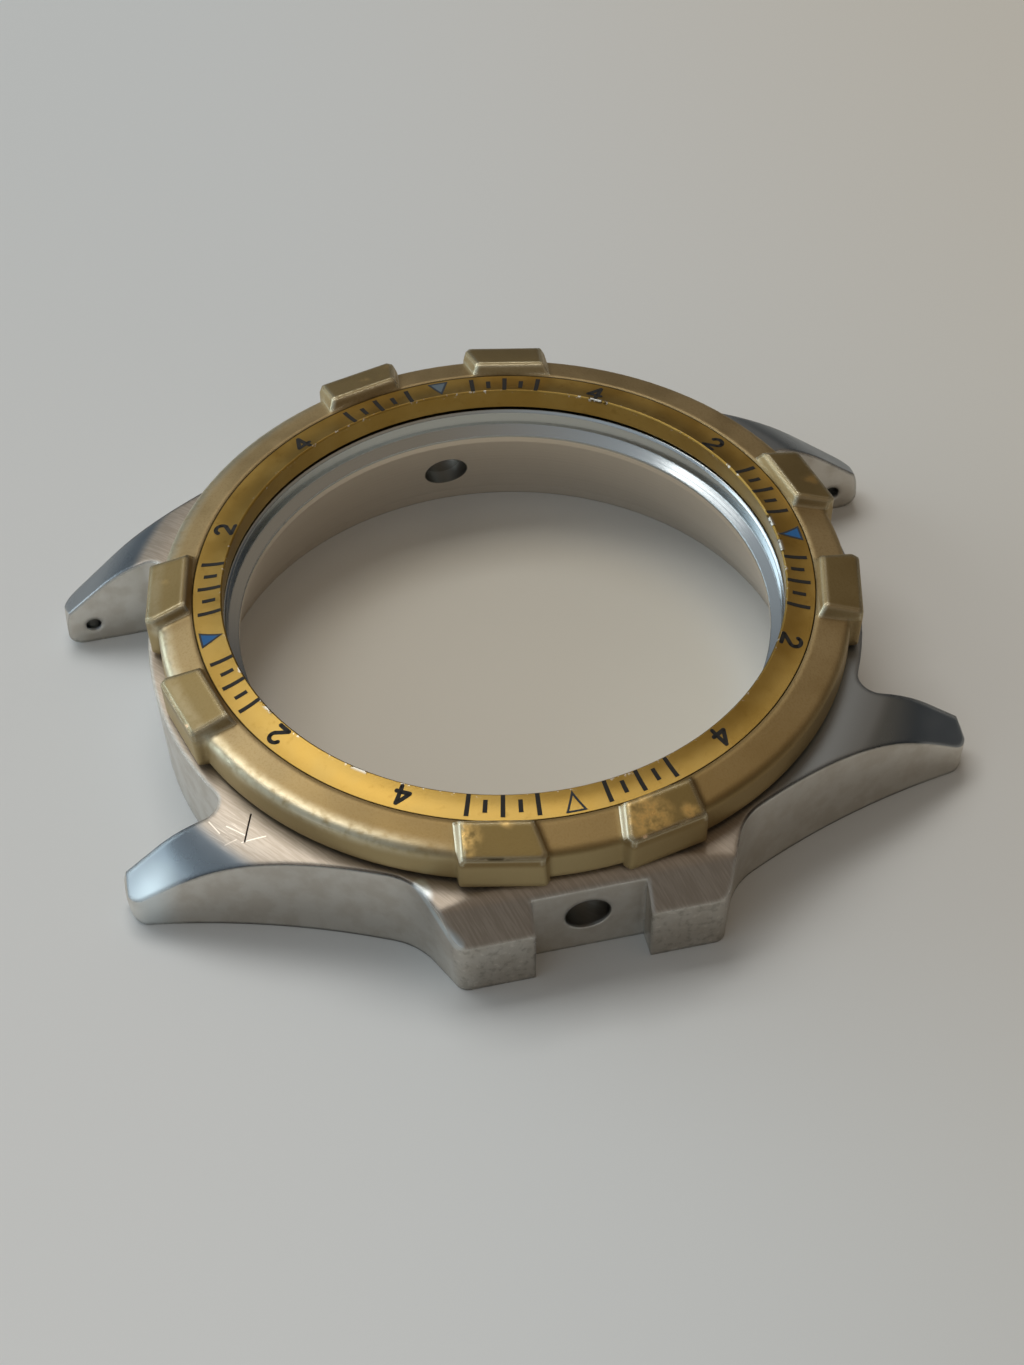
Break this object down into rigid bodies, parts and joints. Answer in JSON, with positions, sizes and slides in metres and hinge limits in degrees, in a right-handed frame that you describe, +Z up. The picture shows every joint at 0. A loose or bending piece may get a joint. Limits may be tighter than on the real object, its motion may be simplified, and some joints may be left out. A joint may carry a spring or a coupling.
{
  "type": "empty watch case",
  "caption": "Round steel watch case without movement, crystal, back or crown, with curved lugs, crown guards and a turning gold bezel with raised grip tabs.",
  "frame": {"origin": "on the case's axis, in the plane of its underside, which rests on the bench", "axes": "+Z up through the bezel, +X to 3 o'clock (the crown side), +Y to 12 o'clock"},
  "size_m": [0.0416, 0.0472, 0.0093],
  "materials": {
    "case_steel": "satin blasted stainless steel, polished along the edges",
    "bezel_gold": "matt champagne gold plating on blasted steel, worn bright at the edges",
    "insert_gold": "satin gold anodised aluminium with black printed marks",
    "adhesive": "thin double-sided adhesive ring",
    "spring_wire": "drawn stainless spring wire",
    "gasket_rubber": "black nitrile rubber",
    "ball_steel": "polished bearing steel"
  },
  "bodies": {
    "case": {"mid_case": "case_steel", "bezel_gasket": "gasket_rubber", "click_spring_a": "spring_wire", "click_spring_b": "spring_wire"},
    "bezel": {"bezel_ring": "bezel_gold", "bezel_insert": "insert_gold", "insert_adhesive": "adhesive", "retaining_ring": "spring_wire"},
    "click_ball_a": {"click_ball_a": "ball_steel"},
    "click_ball_b": {"click_ball_b": "ball_steel"}
  },
  "joints": [
    {"name": "bezel_turn", "type": "hinge", "parent": "case", "child": "bezel", "pos_m": [0, 0, 0.00712], "axis": [0, 0, 1], "continuous": true},
    {"name": "click_a_press", "type": "slide", "parent": "case", "child": "click_ball_a", "axis": [0, 0, 1], "range_m": [-0.00025, 0], "stiffness_N_per_m": 400, "springref_m": 0.0005, "deforming": ["click_spring_a"]},
    {"name": "click_b_press", "type": "slide", "parent": "case", "child": "click_ball_b", "axis": [0, 0, 1], "range_m": [-0.00025, 0], "stiffness_N_per_m": 400, "springref_m": 0.0005, "deforming": ["click_spring_b"]}
  ]
}
